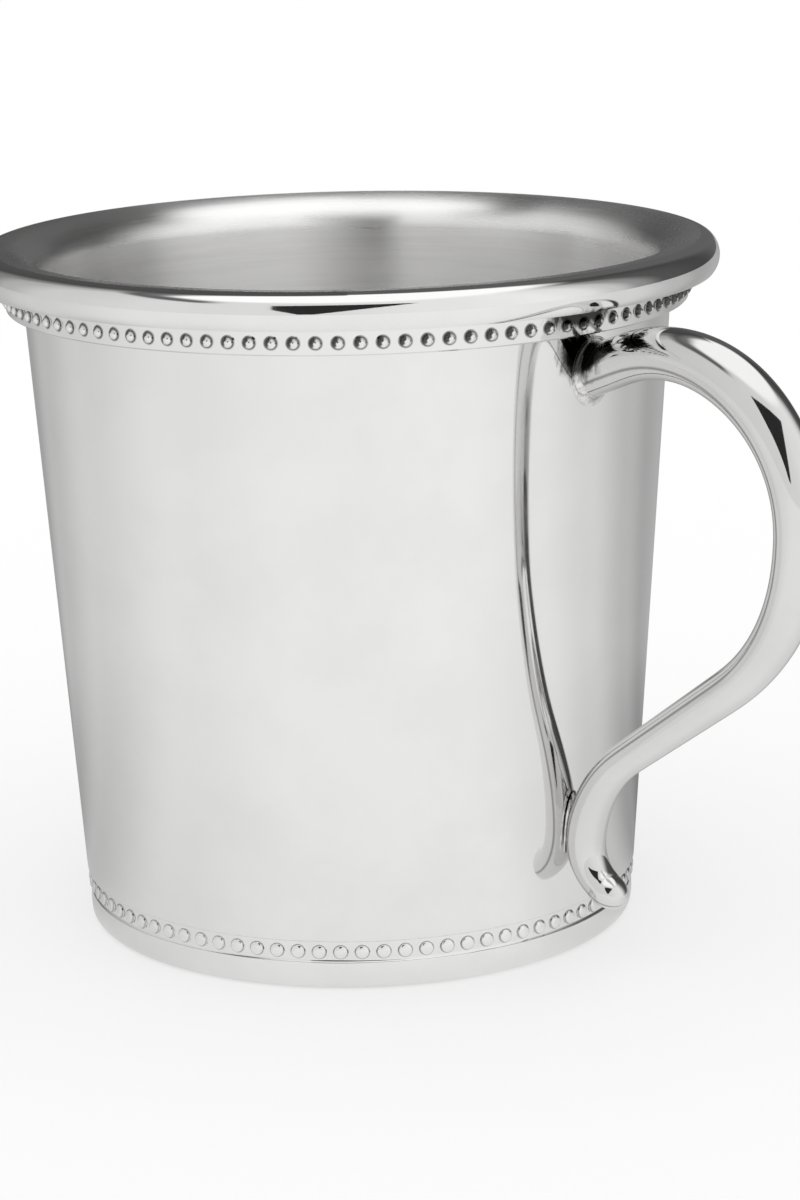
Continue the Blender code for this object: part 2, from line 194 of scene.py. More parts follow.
def lip_arcs(crown):
    """Centres of the lip's fuller lower arc and tighter upper arc, and where the crown takes over."""
    brow_x = RIM_RADIUS - LIP_BELLY + (LIP_BELLY - LIP_BROW) * math.cos(LIP_TURN)
    lip_end = math.acos((brow_x - crown[0]) / (CROWN_RADIUS - LIP_BROW))
    brow = crown + (CROWN_RADIUS - LIP_BROW) * np.array([math.cos(lip_end), math.sin(lip_end)])
    belly = brow - (LIP_BELLY - LIP_BROW) * np.array([math.cos(LIP_TURN), math.sin(LIP_TURN)])
    return belly, brow, lip_end


def body_runs():
    """Half section of the body as runs of points, each with the index of its material."""
    crown, flare = crown_centre(), flare_centre()
    crown_end = math.atan2(*(flare - crown)[::-1])
    flare_end = math.pi - math.atan(SLOPE)
    seat_low = FOOT_BAND_BASE - 0.02
    seat_high = FOOT_BAND_BASE + FOOT_BAND_HEIGHT + 0.03
    seat = foot_face(FOOT_BAND_BASE) - GROOVE_DEPTH
    foot = wall_radius(0.0) - FOOT_TUCK
    polish, satin, under = 0, 1, 2
    runs = []
    runs.append((under, [(r, 0.0) for r in np.linspace(0.0, foot - FOOT_EDGE, 12)]))
    side = arc((foot - FOOT_EDGE, FOOT_EDGE), FOOT_EDGE, -math.pi / 2, -0.12, 8)
    side += arc((foot + FOOT_BULGE - FOOT_SIDE, 1.55), FOOT_SIDE, -0.05, 0.1, 8)
    side += arc((foot - 0.075, seat_low - FOOT_SHOULDER), FOOT_SHOULDER, 0.1, math.pi / 2, 4)
    side += [(seat, seat_low), (seat, seat_high)]
    brink = wall_radius(seat_high) - FOOT_TUCK - GROOVE_EDGE
    side += [(brink - 0.08, seat_high)]
    side += arc((brink, seat_high + GROOVE_EDGE), GROOVE_EDGE, -math.pi / 2, -0.06, 5)
    low = np.array([wall_radius(seat_high + 0.3) - FOOT_TUCK, seat_high + 0.3])
    high = np.array([wall_radius(UNDER_LIP), UNDER_LIP])
    side += [low + (high - low) * t for t in np.linspace(0.0, 1.0, 40)]
    belly, brow, lip_end = lip_arcs(crown)
    edge = belly[0] + math.sqrt(LIP_BELLY ** 2 - (belly[1] - UNDER_LIP) ** 2)
    side += [(r, UNDER_LIP) for r in np.linspace(high[0], edge, 8)[1:-1]]
    side += arc(belly, LIP_BELLY, math.asin((UNDER_LIP - belly[1]) / LIP_BELLY), LIP_TURN, 26)
    side += arc(brow, LIP_BROW, LIP_TURN, lip_end, 26)[1:]
    side += arc(crown, CROWN_RADIUS, lip_end, SATIN_EDGE, 6)[1:]
    runs.append((polish, side))
    inside = arc(crown, CROWN_RADIUS, SATIN_EDGE, crown_end, 24)
    inside += arc(flare, RIM_FLARE, crown_end, flare_end, 24)[1:]
    centre_height = FLOOR + INNER_CORNER
    centre = (inside_radius(centre_height) - INNER_CORNER * math.hypot(1.0, SLOPE), centre_height)
    fillet = arc(centre, INNER_CORNER, -math.atan(SLOPE), -math.pi / 2, 16)
    top = inside[-1]
    inside += [top + (fillet[0] - top) * t for t in np.linspace(0.0, 1.0, 40)[1:-1]]
    inside += fillet
    inside += [(r, FLOOR) for r in np.linspace(fillet[-1][0], 0.0, 12)[1:]]
    runs.append((satin, inside))
    return runs


# Mesh making

def new_piece(name, vertices, faces, materials, indices=None, smooth_angle=None):
    """Mesh object from lists in millimetres."""
    mesh = bpy.data.meshes.new(name)
    mesh.from_pydata([tuple(float(c) * MM for c in v) for v in vertices], [], faces)
    for material in materials:
        mesh.materials.append(material)
    if indices is not None:
        mesh.polygons.foreach_set("material_index", indices)
    mesh.shade_smooth()
    if smooth_angle:
        mesh.set_sharp_from_angle(angle=math.radians(smooth_angle))
    mesh.validate()
    mesh.update()
    piece = bpy.data.objects.new(name, mesh)
    bpy.context.scene.collection.objects.link(piece)
    return piece


def mark_painted_dark(piece, values):
    """Float attribute that tells the material where dark is painted: painted shade and painted dark reflections.
    """
    layer = piece.data.attributes.new("painted_dark", "FLOAT", "POINT")
    layer.data.foreach_set("value", np.array(values, np.float32))


def share_between(value, low, high):
    return min(1.0, max(0.0, (value - low) / (high - low)))


def revolve(runs, segments):
    """Vertices, faces and material indices of a closed half section turned about Z, facing out."""
    points, marks = [], []
    for mark, run in runs:
        for point in run:
            if points and np.hypot(*(np.array(point) - points[-1])) < 1e-6:
                continue
            points.append(np.array(point, float))
            marks.append(mark)
    turns = [(math.cos(TAU * k / segments), math.sin(TAU * k / segments)) for k in range(segments)]
    vertices, rings = [], []
    for radius, height in points:
        if radius < 1e-9:
            rings.append([len(vertices)])
            vertices.append((0.0, 0.0, height))
        else:
            rings.append(list(range(len(vertices), len(vertices) + segments)))
            vertices += [(radius * c, radius * s, height) for c, s in turns]
    faces, indices = [], []
    for number, (first, second) in enumerate(zip(rings, rings[1:])):
        for k in range(segments):
            n = (k + 1) % segments
            if len(first) == 1:
                faces.append((first[0], second[n], second[k]))
            elif len(second) == 1:
                faces.append((first[k], first[n], second[0]))
            else:
                faces.append((first[k], first[n], second[n], second[k]))
            indices.append(marks[number + 1])
    return vertices, faces, indices


def loft(rings, vertices, faces, closed=False, flip=False):
    """Quads between successive closed rings of points."""
    starts = []
    for ring in rings:
        starts.append(len(vertices))
        vertices += [tuple(p) for p in ring]
    count = len(rings[0])
    pairs = list(zip(starts, starts[1:]))
    if closed:
        pairs.append((starts[-1], starts[0]))
    for a, b in pairs:
        for k in range(count):
            n = (k + 1) % count
            quad = (a + k, a + n, b + n, b + k)
            faces.append(quad[::-1] if flip else quad)
    return starts


def cap(start, count, tip, vertices, faces, flip=False):
    """Fan from a ring to one tip point."""
    apex = len(vertices)
    vertices.append(tuple(tip))
    for k in range(count):
        face = (start + k, start + (k + 1) % count, apex)
        faces.append(face[::-1] if flip else face)


def bead_painted_dark(shares, lee, cover):
    """Painted dark of one bead, ring by ring and then its top: painted shade at its root and a painted dark
    reflection on its lee side.
    """
    values = []
    for share in shares:
        root = 0.85 * lee * max(0.0, (share - 0.75) / 0.25)
        for k in range(BEAD_SIDES):
            side = 0.5 + 0.5 * math.cos(TAU * k / BEAD_SIDES - math.radians(160))
            shade = lee * share_between(side, 0.5, 0.8) * share_between(share, cover, cover + 0.2)
            values.append(max(root, shade) if share <= 1.0 else 0.35 * shade)
    return values + [0.0]


def beaded_ring(name, section, beads, diameter, height, power, phase, face_at, tilt, lee, cover, skirt, material):
    """Turned ring with round beads on its face; power above 2 makes a bead flatter on top.

    Lee is the strength of the painted dark reflection on one side of each bead, from the share cover of
    the radius outwards, and of the painted shade round its root. Skirt is the share of the radius at which
    the foot of a bead meets the face.
    """
    segments = beads * 4
    vertices, faces = [], []
    rings = []
    for radius, level in section:
        rings.append([
            (radius * math.cos(TAU * k / segments), radius * math.sin(TAU * k / segments), level)
            for k in range(segments)
        ])
    loft(rings, vertices, faces, closed=True)
    # The band gets no painted dark; each bead gets painted shade at its root and a painted dark reflection on one
    # side
    painted_dark = [0.0] * len(vertices)
    shares = [skirt, 1.0, 0.96, 0.88, 0.76, 0.60, 0.42, 0.22]
    radius, level = face_at
    for bead in range(beads):
        angle = phase + TAU * bead / beads
        out = Vector((math.cos(angle), math.sin(angle), 0.0))
        across = Vector((-math.sin(angle), math.cos(angle), 0.0))
        up = Vector((0.0, 0.0, 1.0))
        lean = Matrix.Rotation(-tilt, 3, across)
        out, up = lean @ out, lean @ up
        centre = Vector((radius * math.cos(angle), radius * math.sin(angle), level))
        bead_rings = []
        for share in shares:
            lift = -BEAD_SINK if share > 1.0 else height * (1 - min(share, 0.995) ** power) ** (1 / power)
            spread = diameter / 2 * share
            bead_rings.append([
                centre + out * lift + across * (spread * math.cos(TAU * k / BEAD_SIDES))
                + up * (spread * math.sin(TAU * k / BEAD_SIDES))
                for k in range(BEAD_SIDES)
            ])
        starts = loft(bead_rings, vertices, faces)
        faces.append(tuple(starts[0] + k for k in reversed(range(BEAD_SIDES))))
        cap(starts[-1], BEAD_SIDES, centre + out * height, vertices, faces)
        painted_dark += bead_painted_dark(shares, lee, cover)
    piece = new_piece(name, vertices, faces, [material], smooth_angle=40)
    mark_painted_dark(piece, painted_dark)
    return piece


# Handle

def handle_route():
    """Spine of the handle as dense points with thickness and width, and its fixed values."""
    wall = wall_radius(RIM_BAND_BOTTOM)
    reach = wall + PROJECTION
    straight = ROOT_LENGTH * math.cos(ROOT_ANGLE)
    crown_radius = (PROJECTION - SEAT_GAP - straight) / (1 + math.sin(ROOT_ANGLE))
    crown_x = reach - crown_radius
    bead_edge = RIM_FACE + RIM_BEAD_HEIGHT
    rise = math.sqrt((crown_radius + ROOT_SIZE[0] / 2) ** 2 - (crown_x - bead_edge) ** 2)
    crown_z = RIM_BAND_BOTTOM - BELOW_BEADS - rise
    joint_x = wall_radius(JOINT_HEIGHT) + SEAT_GAP + JOINT_SIZE[0] / 2 - SADDLE
    across, drop = reach - joint_x, crown_z - JOINT_HEIGHT
    radii = (drop * math.cos(SWEEP_ANGLE) - across * math.sin(SWEEP_ANGLE)) / (1 - math.sin(SWEEP_ANGLE))
    back = radii / (1 + HEEL_TO_RETURN)
    heel = radii - back
    root_turn = math.pi / 2 + ROOT_ANGLE
    heel_turn = SWEEP_ANGLE - math.pi / 2
    tail_turn = math.pi + TAIL_ANGLE
    crown = (crown_x, crown_z)
    bend = (joint_x + back, JOINT_HEIGHT)
    tail_start = math.pi - TAIL_LEAD
    tail = np.array(bend) + (back - TAIL_RADIUS) * np.array([math.cos(tail_start), math.sin(tail_start)])
    runs = [
        (arc(crown, crown_radius, root_turn, root_turn / 2, 40), ROOT_SIZE, SHOULDER_SIZE),
        (arc(crown, crown_radius, root_turn / 2, 0.0, 40), SHOULDER_SIZE, REACH_SIZE),
        (arc((reach - heel, crown_z), heel, 0.0, heel_turn, 48), REACH_SIZE, SWEEP_SIZE),
        (arc(bend, back, math.pi + heel_turn, tail_start, 36), WAIST_SIZE, JOINT_SIZE),
        (arc(tail, TAIL_RADIUS, tail_start, tail_turn, 30), JOINT_SIZE, TAIL_SIZE),
    ]
    direction = np.array([math.cos(ROOT_ANGLE), math.sin(ROOT_ANGLE)])
    root = runs[0][0][0] - ROOT_LENGTH * direction
    stations = [(root + direction * ROOT_LENGTH * t, *ROOT_SIZE) for t in np.linspace(0.0, 0.9, 8)]
    for points, start, end in runs:
        for step, point in enumerate(points):
            share = step / (len(points) - 1)
            ease = share * share * (3 - 2 * share)
            size = np.array(start) * (1 - ease) + np.array(end) * ease
            if np.hypot(*(stations[-1][0] - point)) > 0.12:
                stations.append((point, size[0], size[1]))
    return stations, direction, tail_turn, np.array(bend), back


def spaced(stations, count):
    """The same route at equal steps, eased so that bends and sizes run into each other."""
    data = np.array([[p[0], p[1], t, w] for p, t, w in stations])
    length = np.concatenate([[0.0], np.cumsum(np.hypot(*np.diff(data[:, :2], axis=0).T))])
    even = np.linspace(0.0, length[-1], count)
    route = np.array([np.interp(even, length, column) for column in data.T]).T
    for _ in range(14):
        middle = (route[:-2] + 2 * route[1:-1] + route[2:]) / 4
        route[1:-1] = middle
    return route


def oval(point, heading, thickness, width, sides, power=2.0):
    """Ring across a heading; power under 2 flattens the oval between its four sides."""
    ring = []
    for side in range(sides):
        angle = TAU * side / sides
        c, s = math.cos(angle), math.sin(angle)
        full = (abs(c) ** power + abs(s) ** power) ** (-1 / power)
        rise = c * full * thickness / 2
        ring.append(np.array([
            point[0] - heading[1] * rise,
            s * full * width / 2,
            point[1] + heading[0] * rise,
        ]))
    return ring


def slide_to_wall(point, heading, gap):
    """Move a point along the heading until it lies one gap off the wall."""
    moved = np.array(point, float)
    for _ in range(12):
        excess = math.hypot(moved[0], moved[1]) - wall_radius(moved[2]) - gap
        moved -= np.array([heading[0], 0.0, heading[1]]) * excess / heading[0]
    return moved


def clear_of_wall(point, gap):
    reach = math.hypot(point[0], point[1])
    scale = max(1.0, (wall_radius(point[2]) + gap) / reach)
    return np.array([point[0] * scale, point[1] * scale, point[2]])


def make_handle(material):
    """Cast scroll handle seated on the wall at its root and at its lower joint."""
    stations, direction, tail_turn, _, _ = handle_route()
    route = spaced(stations, HANDLE_RINGS)
    headings = np.gradient(route[:, :2], axis=0)
    headings /= np.linalg.norm(headings, axis=1)[:, None]
    headings[0] = direction
    last = np.array([-math.sin(tail_turn), math.cos(tail_turn)])
    headings[-1] = last
    rings = []
    for number, ((x, z, thickness, width), heading) in enumerate(zip(route, headings)):
        late = share_between(number / HANDLE_RINGS, 0.62, 0.82)
        ring = oval((x, z), heading, thickness, width, HANDLE_SIDES, SECTION_POWER * (1 - late) + 2 * late)
        if number == 0:
            ring = [slide_to_wall(p, heading, TOUCH) for p in ring]
        rings.append([clear_of_wall(p, TOUCH) for p in ring])
    end = route[-1]
    for step in range(1, TIP_RINGS):
        angle = math.pi / 2 * step / TIP_RINGS
        place = end[:2] + last * TIP_LENGTH * math.sin(angle)
        shrink = math.cos(angle)
        rings.append(oval(place, last, end[2] * shrink, end[3] * shrink, HANDLE_SIDES))
    vertices, faces = [], []
    starts = loft(rings, vertices, faces, flip=True)
    tip = end[:2] + last * TIP_LENGTH
    cap(starts[-1], HANDLE_SIDES, (tip[0], 0.0, tip[1]), vertices, faces, flip=True)
    root = slide_to_wall((route[0][0], 0.0, route[0][1]), direction, TOUCH)
    cap(starts[0], HANDLE_SIDES, root, vertices, faces)
    piece = new_piece("handle_cast", vertices, faces, [material], smooth_angle=50)
    turns = [360 * side / HANDLE_SIDES for side in range(HANDLE_SIDES)]
    # Two painted dark lines along the handle's sides, standing in for dark reflections
    painted_lines = [max(math.exp(-((turn - line) / PAINTED_LINE_WIDTH) ** 2) for line in PAINTED_LINE_TURNS) for turn in turns]
    mark_painted_dark(piece, painted_lines * len(rings) + [0.0, 0.0])
    return piece


def make_root_solder(material):
    """Hollow fillet of solder round the root of the handle."""
    stations, direction, _, _, _ = handle_route()
    root = stations[0][0]
    leg, sides = ROOT_SOLDER_LEG, 96
    section = [(-0.1, -0.02), (leg * 1.08, -0.02)]
    for step in range(9):
        angle = math.pi / 2 * step / 8
        section.append((leg * (1 - math.sin(angle)), leg * (1 - math.cos(angle))))
    section.append((-0.1, leg * 1.02))
    rings = []
    for spread, lift in section:
        grow = 2 * (TOUCH + spread)
        ring = oval(root, direction, ROOT_SIZE[0] + grow, ROOT_SIZE[1] + grow, sides)
        on_wall = [slide_to_wall(p, direction, 0.0) for p in ring]
        rings.append([p + np.array([direction[0], 0.0, direction[1]]) * lift for p in on_wall])
    vertices, faces = [], []
    loft(rings, vertices, faces, closed=True, flip=True)
    return new_piece("root_solder_fillet", vertices, faces, [material], smooth_angle=60)


def joint_space(bend, back, across, height):
    """Inner and outer bound of the space between the wall and the handle over the joint."""
    wall = math.sqrt(wall_radius(height) ** 2 - across ** 2)
    half = JOINT_SIZE[0] / 2 * math.sqrt(1 - (2 * across / JOINT_SIZE[1]) ** 2)
    reach = back + half
    return wall, bend[0] - math.sqrt(reach ** 2 - (height - bend[1]) ** 2)


def make_joint_solder(material):
    """Arch of solder in the crotch over the lower joint, with a hollow top."""
    _, _, _, bend, back = handle_route()
    rings = []
    steps = 28
    for step in range(steps + 1):
        across = JOINT_SOLDER_WIDTH * (step / steps - 0.5)
        bottom = JOINT_HEIGHT
        inner, outer = joint_space(bend, back, across, bottom)
        while outer - inner < JOINT_SOLDER_EDGE:
            bottom += 0.02
            inner, outer = joint_space(bend, back, across, bottom)
        fade = math.sqrt(max(0.04, 1 - (2 * across / (JOINT_SOLDER_WIDTH + 0.1)) ** 2))
        top = bottom + JOINT_SOLDER_HEIGHT * fade
        ring = [(inner, bottom), (outer, bottom)]
        for share in np.linspace(1.0, 0.0, 9):
            sag = JOINT_SOLDER_HOLLOW * 4 * share * (1 - share) * fade
            level = top - sag
            low, high = joint_space(bend, back, across, level)
            ring.append((low + (high - low) * share, level))
        rings.append([(x, across, z) for x, z in ring])
    vertices, faces = [], []
    starts = loft(rings, vertices, faces, flip=True)
    count = len(rings[0])
    faces.append(tuple(range(starts[0], starts[0] + count)))
    faces.append(tuple(range(starts[-1], starts[-1] + count))[::-1])
    return new_piece("joint_solder_arch", vertices, faces, [material], smooth_angle=60)


# Materials

class Graph:
    """Shorthand for building a node tree."""

    def __init__(self, tree):
        self.tree = tree

    def add(self, kind, settings=None, **inputs):
        made = self.tree.nodes.new(kind)
        for key, value in (settings or {}).items():
            setattr(made, key, value)
        for key, value in inputs.items():
            name = int(key[1:]) if key[0] == "i" and key[1:].isdigit() else key.replace("_", " ")
            self.put(made.inputs[name], value)
        return made

    def put(self, socket, value):
        if isinstance(value, bpy.types.NodeSocket):
            self.tree.links.new(value, socket)
        else:
            socket.default_value = value

    def math(self, operation, first, second=0.0, third=0.0):
        made = self.add("ShaderNodeMath", {"operation": operation}, i0=first, i1=second, i2=third)
        return made.outputs[0]

    def vector(self, operation, first, second=(0.0, 0.0, 0.0)):
        made = self.add("ShaderNodeVectorMath", {"operation": operation}, i0=first, i1=second)
        return made.outputs["Value" if operation in ("DOT_PRODUCT", "LENGTH") else "Vector"]

    def ramp(self, value, start, end, low=0.0, high=1.0, smooth=True):
        made = self.add("ShaderNodeMapRange", {"interpolation_type": "SMOOTHSTEP" if smooth else "LINEAR"})
        self.put(made.inputs["Value"], value)
        for name, number in (("From Min", start), ("From Max", end), ("To Min", low), ("To Max", high)):
            self.put(made.inputs[name], number)
        return made.outputs[0]

    def noise(self, vector, scale, detail=3.0, rough=0.5):
        made = self.add("ShaderNodeTexNoise", None, Vector=vector, Scale=scale, Detail=detail, Roughness=rough)
        return made.outputs["Fac"]

    def stretched(self, vector, scale):
        return self.add("ShaderNodeMapping", None, Vector=vector, Scale=scale).outputs[0]

    def mix(self, factor, first, second):
        """Colour between two colours, by a 0 to 1 factor."""
        return self.add("ShaderNodeMix", {"data_type": "RGBA"}, i0=factor, i6=first, i7=second).outputs[2]

    def bump(self, height, strength, distance, **inputs):
        made = self.add("ShaderNodeBump", None, Strength=strength, Distance=distance, Height=height, **inputs)
        return made.outputs[0]

    def finish(self, shader, kind="ShaderNodeOutputMaterial"):
        self.put(self.add(kind).inputs["Surface"], shader.outputs[0])


def empty_graph(owner):
    """Node graph of a material or a world, with nothing in it."""
    owner.use_nodes = True
    owner.node_tree.nodes.clear()
    return Graph(owner.node_tree)


def metal_material(name):
    """Material, its graph, its metal shader and the place on the object that the textures read."""
    material = bpy.data.materials.new(name)
    graph = empty_graph(material)
    shader = graph.add("ShaderNodeBsdfPrincipled", None, Metallic=1.0)
    graph.finish(shader)
    return material, graph, shader, graph.add("ShaderNodeTexCoord").outputs["Object"]


def set_surface(graph, shader, colour, roughness, normal):
    for socket, value in (("Base Color", colour), ("Roughness", roughness), ("Normal", normal)):
        graph.put(shader.inputs[socket], value)


def opaque(colour):
    return (*colour, 1.0)


def painted_root_reflection(graph, place):
    """Share of the painted dark reflection on the metal beside the root of the handle."""
    brushed = graph.stretched(place, (1.0, 1.0, 0.35))
    ragged = graph.math("SUBTRACT", graph.noise(brushed, 1500.0, 4.0, 0.65), 0.5)
    painted_share = None
    for middle, reach in PAINTED_ROOT_SPOTS:
        away = graph.vector("SUBTRACT", place, Vector(middle) * MM)
        span = graph.vector("LENGTH", graph.vector("MULTIPLY", away, Vector([1 / (r * MM) for r in reach])))
        spot = graph.ramp(graph.math("MULTIPLY_ADD", ragged, 1.1, span), 1.1, 0.6)
        painted_share = spot if painted_share is None else graph.math("MAXIMUM", painted_share, spot)
    return painted_share


def with_painted_root_reflection(graph, place, colour):
    """Colour with the painted dark reflection beside the handle's root over it."""
    return graph.mix(graph.math("MULTIPLY", painted_root_reflection(graph, place), 0.96), colour, opaque(PAINTED_ROOT_DARK))


def polished_pewter(name, tones, rough, wave, painted_dark=0.0):
    """Bright pewter: faint cloudiness, hair scratches and the slight waviness of hand polishing."""
    material, graph, shader, place = metal_material(name)
    cloud = graph.noise(place, 90.0, 4.0, 0.6)
    colour = graph.mix(graph.ramp(cloud, 0.35, 0.65), *map(opaque, tones))
    haze = graph.noise(place, 260.0, 5.0, 0.65)
    roughness = graph.ramp(haze, 0.3, 0.75, rough * 0.7, rough * 1.5)
    # Painted shade and painted dark reflections, where the mesh attribute asks for them
    if painted_dark:
        painted_dark_mask = graph.add("ShaderNodeAttribute", {"attribute_name": "painted_dark"}).outputs["Fac"]
        shade = graph.ramp(painted_dark_mask, 0.1, 1.0, 0.0, painted_dark)
        colour = graph.mix(shade, colour, opaque(PAINTED_DARK_TONE))
        roughness = graph.math("MULTIPLY_ADD", shade, 0.1, roughness)
    swell = graph.bump(graph.noise(place, 45.0, 1.0, 0.4), wave, 0.4 * MM)
    hair = graph.noise(graph.stretched(place, (1.0, 1.0, 14.0)), 900.0, 2.0, 0.6)
    normal = graph.bump(hair, 0.02, 0.02 * MM, Normal=swell)
    # The colour carries the painted dark reflection beside the handle's root
    set_surface(graph, shader, with_painted_root_reflection(graph, place, colour), roughness, normal)
    return material


def satin_pewter(name):
    """Inside of the cup: fine turning marks that run round it and spread the light up and down."""
    material, graph, shader, place = metal_material(name)
    lines = graph.stretched(place, (0.03, 0.03, 1.0))
    fine = graph.noise(lines, 5200.0, 3.0, 0.7)
    broad = graph.noise(lines, 900.0, 2.0, 0.5)
    marks = graph.math("MULTIPLY_ADD", broad, 0.6, graph.math("MULTIPLY", fine, 0.4))
    # Lighter than the outside's pewter as painted light, mottled by the turning marks
    colour = graph.mix(graph.ramp(marks, 0.35, 0.65), *map(opaque, SATIN_PAINTED_LIGHT_TONES))
    height = graph.add("ShaderNodeSeparateXYZ", None, Vector=place).outputs[2]
    coarse = graph.ramp(height, 61.5 * MM, 57.0 * MM, 0.0, 0.1)
    roughness = graph.math("ADD", coarse, graph.ramp(marks, 0.3, 0.7, 0.23, 0.29))
    set_surface(graph, shader, colour, roughness, graph.bump(fine, 0.12, 0.03 * MM))
    shader.inputs["Anisotropic"].default_value = 1.0
    shader.inputs["Anisotropic Rotation"].default_value = 0.25
    tangent = graph.add("ShaderNodeTangent", {"direction_type": "RADIAL", "axis": "Z"})
    graph.put(shader.inputs["Tangent"], tangent.outputs[0])
    return material


def turned_underside(name):
    """Underside: rings of turning marks, rubbed by standing on tables."""
    material, graph, shader, place = metal_material(name)
    radius = graph.vector("LENGTH", graph.vector("MULTIPLY", place, (1.0, 1.0, 0.0)))
    flat = graph.add("ShaderNodeCombineXYZ", None, X=radius).outputs[0]
    rings = graph.noise(flat, 4200.0, 3.0, 0.7)
    rub = graph.noise(place, 420.0, 6.0, 0.7)
    colour = graph.mix(graph.ramp(rub, 0.35, 0.7), *map(opaque, UNDERSIDE_TONES))
    roughness = graph.ramp(rings, 0.3, 0.7, 0.25, 0.42)
    set_surface(graph, shader, colour, roughness, graph.bump(rings, 0.2, 0.04 * MM))
    return material


def solder_metal(name):
    """Solder: a little greyer and grainier than the pewter, with small pits."""
    material, graph, shader, place = metal_material(name)
    grain = graph.noise(place, 1800.0, 4.0, 0.6)
    pits = graph.noise(place, 5200.0, 2.0, 0.5)
    colour = graph.mix(graph.ramp(grain, 0.35, 0.65), *map(opaque, SOLDER_TONES))
    roughness = graph.ramp(grain, 0.3, 0.7, 0.10, 0.24)
    # The solder's colour carries the painted dark reflection beside the handle's root
    set_surface(graph, shader, with_painted_root_reflection(graph, place, colour), roughness, graph.bump(pits, 0.25, 0.05 * MM))
    return material


# Pieces

def place_piece(piece, node):
    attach(piece, "root")
    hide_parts(node)


def make_body():
    polish = polished_pewter("body_pewter_polished", BRIGHT_TONES, rough=0.05, wave=0.05)
    metals = [polish, satin_pewter("inside_pewter_satin"), turned_underside("underside_pewter_turned")]
    vertices, faces, indices = revolve(body_runs(), 288)
    return new_piece("cup_body_turned", vertices, faces, metals, indices, 38)


def make_rim_band(material):
    """Beaded ring in the corner under the lip."""
    bottom, top = RIM_BAND_BOTTOM, UNDER_LIP - 0.05
    inset = RIM_FACE - BAND_CHAMFER
    section = [
        (wall_radius(bottom) + TOUCH, bottom), (inset, bottom), (RIM_FACE, bottom + BAND_CHAMFER),
        (RIM_FACE, top - BAND_CHAMFER), (inset, top), (wall_radius(top) + TOUCH, top),
    ]
    return beaded_ring(
        "rim_band_beaded", section, RIM_BEADS, RIM_BEAD_DIAMETER, RIM_BEAD_HEIGHT, power=2.0,
        phase=HANDLE_TURN - math.pi / 2 - math.radians(1.6),
        face_at=(RIM_FACE, (bottom + top) / 2 - RIM_BEAD_DROP),
        tilt=0.0, lee=1.0, cover=0.25, skirt=1.45, material=material)


def make_foot_band(material):
    """Beaded ring in the groove above the foot, with a hollow fillet along its lower edge."""
    bottom, top = FOOT_BAND_BASE, FOOT_BAND_BASE + FOOT_BAND_HEIGHT
    face, back = foot_face(bottom), foot_face(bottom) - FOOT_BAND_DEPTH
    section = [(back, bottom), (face + FOOT_BAND_FILLET, bottom)]
    section += [(face + FOOT_BAND_FILLET * (1 - t) ** 2.2, bottom + 0.28 * t) for t in (0.2, 0.4, 0.6, 0.8)]
    section += [
        (foot_face(bottom + 0.3), bottom + 0.3), (foot_face(top - 0.05), top - 0.05),
        (foot_face(top) - 0.05, top), (back, top),
    ]
    middle = (bottom + top) / 2
    return beaded_ring(
        "foot_band_beaded", section, FOOT_BEADS, FOOT_BEAD_DIAMETER, FOOT_BEAD_HEIGHT, power=2.6,
        phase=HANDLE_TURN - math.pi / 2 - math.radians(0.2),
        face_at=(foot_face(middle), middle),
        tilt=math.atan(SLOPE), lee=0.7, cover=0.8, skirt=1.1, material=material)


def build_cup():
    band_metal = polished_pewter("band_pewter_polished", BRIGHT_TONES, rough=0.06, wave=0.05, painted_dark=0.94)
    handle_metal = polished_pewter("handle_pewter_polished", HANDLE_PAINTED_SHADE_TONES, rough=0.05, wave=0.1, painted_dark=0.6)
    solder = solder_metal("solder_bright")
    place_piece(make_body(), "cup_body")
    place_piece(make_rim_band(band_metal), "rim_beaded_band")
    place_piece(make_foot_band(band_metal), "foot_beaded_band")
    place_piece(make_handle(handle_metal), "handle")
    place_piece(make_root_solder(solder), "upper_handle_solder")
    place_piece(make_joint_solder(solder), "lower_handle_solder")


# Studio

FRONT = Vector((math.sin(HANDLE_TURN), -math.cos(HANDLE_TURN), 0.0))
RIGHT = Vector((math.cos(HANDLE_TURN), math.sin(HANDLE_TURN), 0.0))

# Grey levels that the metal mirrors, by bearing in degrees, and the shares of the lights
WORLD_TONES = [
    (-180, 0.09), (-155, 0.08), (-140, 0.25), (-125, 0.52), (-105, 0.74), (-60, 0.84), (-10, 0.88), (30, 0.98),
    (60, 1.02), (76, 0.92), (88, 0.68), (99, 0.33), (112, 0.10), (140, 0.07), (160, 0.13), (180, 0.12),
]
FLOOR_TONES = [
    (-180, 0.27), (-170, 0.31), (-157, 0.38), (-135, 0.57), (-105, 0.75), (-60, 0.92), (-15, 1.0), (35, 1.02),
    (65, 0.94), (90, 0.79), (115, 0.57), (133, 0.44), (152, 0.46), (166, 0.40), (173, 0.31), (180, 0.27),
]
TOP_LIGHT = 1.25
BAR_DARK = 0.82
FLOOR_DIFFUSE = 0.5
WHITE = (1.0, 1.0, 1.0, 1.0)
CARD = (0.03, 0.03, 0.03, 1.0)

# Corners of the dark opening for the lens, as right, front and up in millimetres
SLIT = [(-74, 300, 76), (-50, 300, 76), (132, 300, 335), (-140, 300, 335), (-122, 300, 190)]


def bearing(graph, vector):
    """Angle of a direction about Z in turns: 0 towards the camera, positive to its right."""
    ahead = graph.vector("DOT_PRODUCT", vector, FRONT)
    aside = graph.vector("DOT_PRODUCT", vector, RIGHT)
    return graph.math("DIVIDE", graph.math("ARCTAN2", aside, ahead), TAU)


